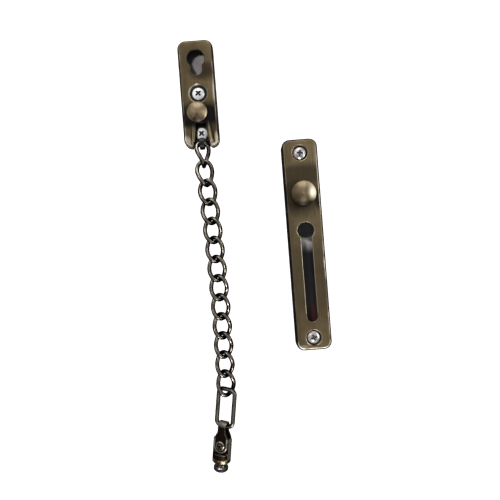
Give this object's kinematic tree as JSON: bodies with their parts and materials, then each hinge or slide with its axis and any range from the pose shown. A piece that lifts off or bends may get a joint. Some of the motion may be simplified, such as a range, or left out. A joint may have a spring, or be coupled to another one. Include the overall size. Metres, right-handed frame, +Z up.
{
  "type": "door chain",
  "caption": "Door chain with a keyhole plate, twisted links, an end pin and a slotted track plate with a press button.",
  "frame": {"origin": "where the chain plate's upper screw crosses the door frame's face, at the middle of the chain plate", "axes": "+Z up along both plates, +Y into the door and its frame, +X from the chain plate towards the track plate"},
  "size_m": [0.0814, 0.033, 0.2663],
  "materials": {
    "antique_bronze": "antique-bronze plating, brushed and darkened in the recesses",
    "bronze_dome": "antique-bronze plating, brushed round its axis",
    "dark_wire": "dark bronze plating",
    "black_steel": "satin black",
    "grey_steel": "dull grey",
    "silver_screw": "bright nickel",
    "zinc_screw": "zinc",
    "brown_strap": "dark bronze plating, edges rubbed bright",
    "pin_bronze": "dark bronze plating, collar rubbed to brass",
    "spring_steel": "bare spring wire"
  },
  "bodies": {
    "plates": {"chain_plate": "antique_bronze", "chain_plate_back": "grey_steel", "anchor_strap": "black_steel", "strap_rivet": "bronze_dome", "chain_plate_upper_screw": "silver_screw", "chain_plate_lower_screw": "silver_screw", "track_plate": "antique_bronze", "track_back": "black_steel", "track_upper_screw": "zinc_screw", "track_lower_screw": "zinc_screw", "button_spring": "spring_steel"},
    "link_01": {"link_01": "dark_wire"},
    "link_02": {"link_02": "dark_wire"},
    "link_03": {"link_03": "dark_wire"},
    "link_04": {"link_04": "dark_wire"},
    "link_05": {"link_05": "dark_wire"},
    "link_06": {"link_06": "dark_wire"},
    "link_07": {"link_07": "dark_wire"},
    "link_08": {"link_08": "dark_wire"},
    "link_09": {"link_09": "dark_wire"},
    "link_10": {"link_10": "dark_wire"},
    "link_11": {"link_11": "dark_wire"},
    "link_12": {"link_12": "dark_wire"},
    "link_13": {"link_13": "dark_wire"},
    "long_link": {"long_link": "dark_wire"},
    "end_fitting": {"end_strap": "brown_strap", "end_rivet": "brown_strap", "sliding_pin": "pin_bronze"},
    "press_button": {"press_button": "bronze_dome", "latch_plate": "black_steel"}
  },
  "joints": [
    {"name": "link_01_swing", "type": "hinge", "parent": "plates", "child": "link_01", "pos_m": [0, -0.00445, -0.03085], "axis": [-1, 0, 0], "range_deg": [-10, 45]},
    {"name": "link_02_swing", "type": "hinge", "parent": "link_01", "child": "link_02", "pos_m": [-0.0002, -0.00445, -0.04191], "axis": [0.9547, -0.2901, 0.0668], "range_deg": [-40, 40]},
    {"name": "link_03_swing", "type": "hinge", "parent": "link_02", "child": "link_03", "pos_m": [0.00083, -0.00445, -0.05662], "axis": [0.3503, 0.9363, 0.0245], "range_deg": [-40, 40]},
    {"name": "link_04_swing", "type": "hinge", "parent": "link_03", "child": "link_04", "pos_m": [0.0014, -0.00445, -0.06555], "axis": [-0.7913, 0.61, -0.0415], "range_deg": [-40, 40]},
    {"name": "link_05_swing", "type": "hinge", "parent": "link_04", "child": "link_05", "pos_m": [0.00217, -0.00445, -0.08028], "axis": [-0.6589, -0.7514, -0.0345], "range_deg": [-40, 40]},
    {"name": "link_06_swing", "type": "hinge", "parent": "link_05", "child": "link_06", "pos_m": [0.00259, -0.00445, -0.08922], "axis": [-0.743, 0.6688, -0.0259], "range_deg": [-40, 40]},
    {"name": "link_07_swing", "type": "hinge", "parent": "link_06", "child": "link_07", "pos_m": [0.0031, -0.00445, -0.10396], "axis": [-0.7149, -0.6988, -0.025], "range_deg": [-40, 40]},
    {"name": "link_08_swing", "type": "hinge", "parent": "link_07", "child": "link_08", "pos_m": [0.00336, -0.00445, -0.11291], "axis": [0.7324, -0.6808, 0.0128], "range_deg": [-40, 40]},
    {"name": "link_09_swing", "type": "hinge", "parent": "link_08", "child": "link_09", "pos_m": [0.00362, -0.00445, -0.12766], "axis": [0.7264, 0.6871, 0.0127], "range_deg": [-40, 40]},
    {"name": "link_10_swing", "type": "hinge", "parent": "link_09", "child": "link_10", "pos_m": [0.00372, -0.00445, -0.13661], "axis": [0.7302, -0.6833, 0], "range_deg": [-40, 40]},
    {"name": "link_11_swing", "type": "hinge", "parent": "link_10", "child": "link_11", "pos_m": [0.00372, -0.00445, -0.15136], "axis": [0.7289, 0.6846, 0], "range_deg": [-40, 40]},
    {"name": "link_12_swing", "type": "hinge", "parent": "link_11", "child": "link_12", "pos_m": [0.00367, -0.00445, -0.16031], "axis": [-0.7296, 0.6838, 0.0127], "range_deg": [-40, 40]},
    {"name": "link_13_swing", "type": "hinge", "parent": "link_12", "child": "link_13", "pos_m": [0.00341, -0.00445, -0.17506], "axis": [-0.7293, -0.6841, 0.0127], "range_deg": [-40, 40]},
    {"name": "long_link_swing", "type": "hinge", "parent": "link_13", "child": "long_link", "pos_m": [0.00363, -0.00445, -0.18334], "axis": [-0.9104, 0.3907, 0.1361], "range_deg": [-40, 40]},
    {"name": "end_fitting_swing", "type": "hinge", "parent": "long_link", "child": "end_fitting", "pos_m": [-0.00016, -0.00425, -0.20562], "axis": [-0.9115, 0.3907, 0.1281], "range_deg": [-100, 100]},
    {"name": "button_press", "type": "slide", "parent": "plates", "child": "press_button", "axis": [0, 1, 0], "range_m": [0, 0.0034], "stiffness_N_per_m": 600, "deforming": ["button_spring"]}
  ]
}
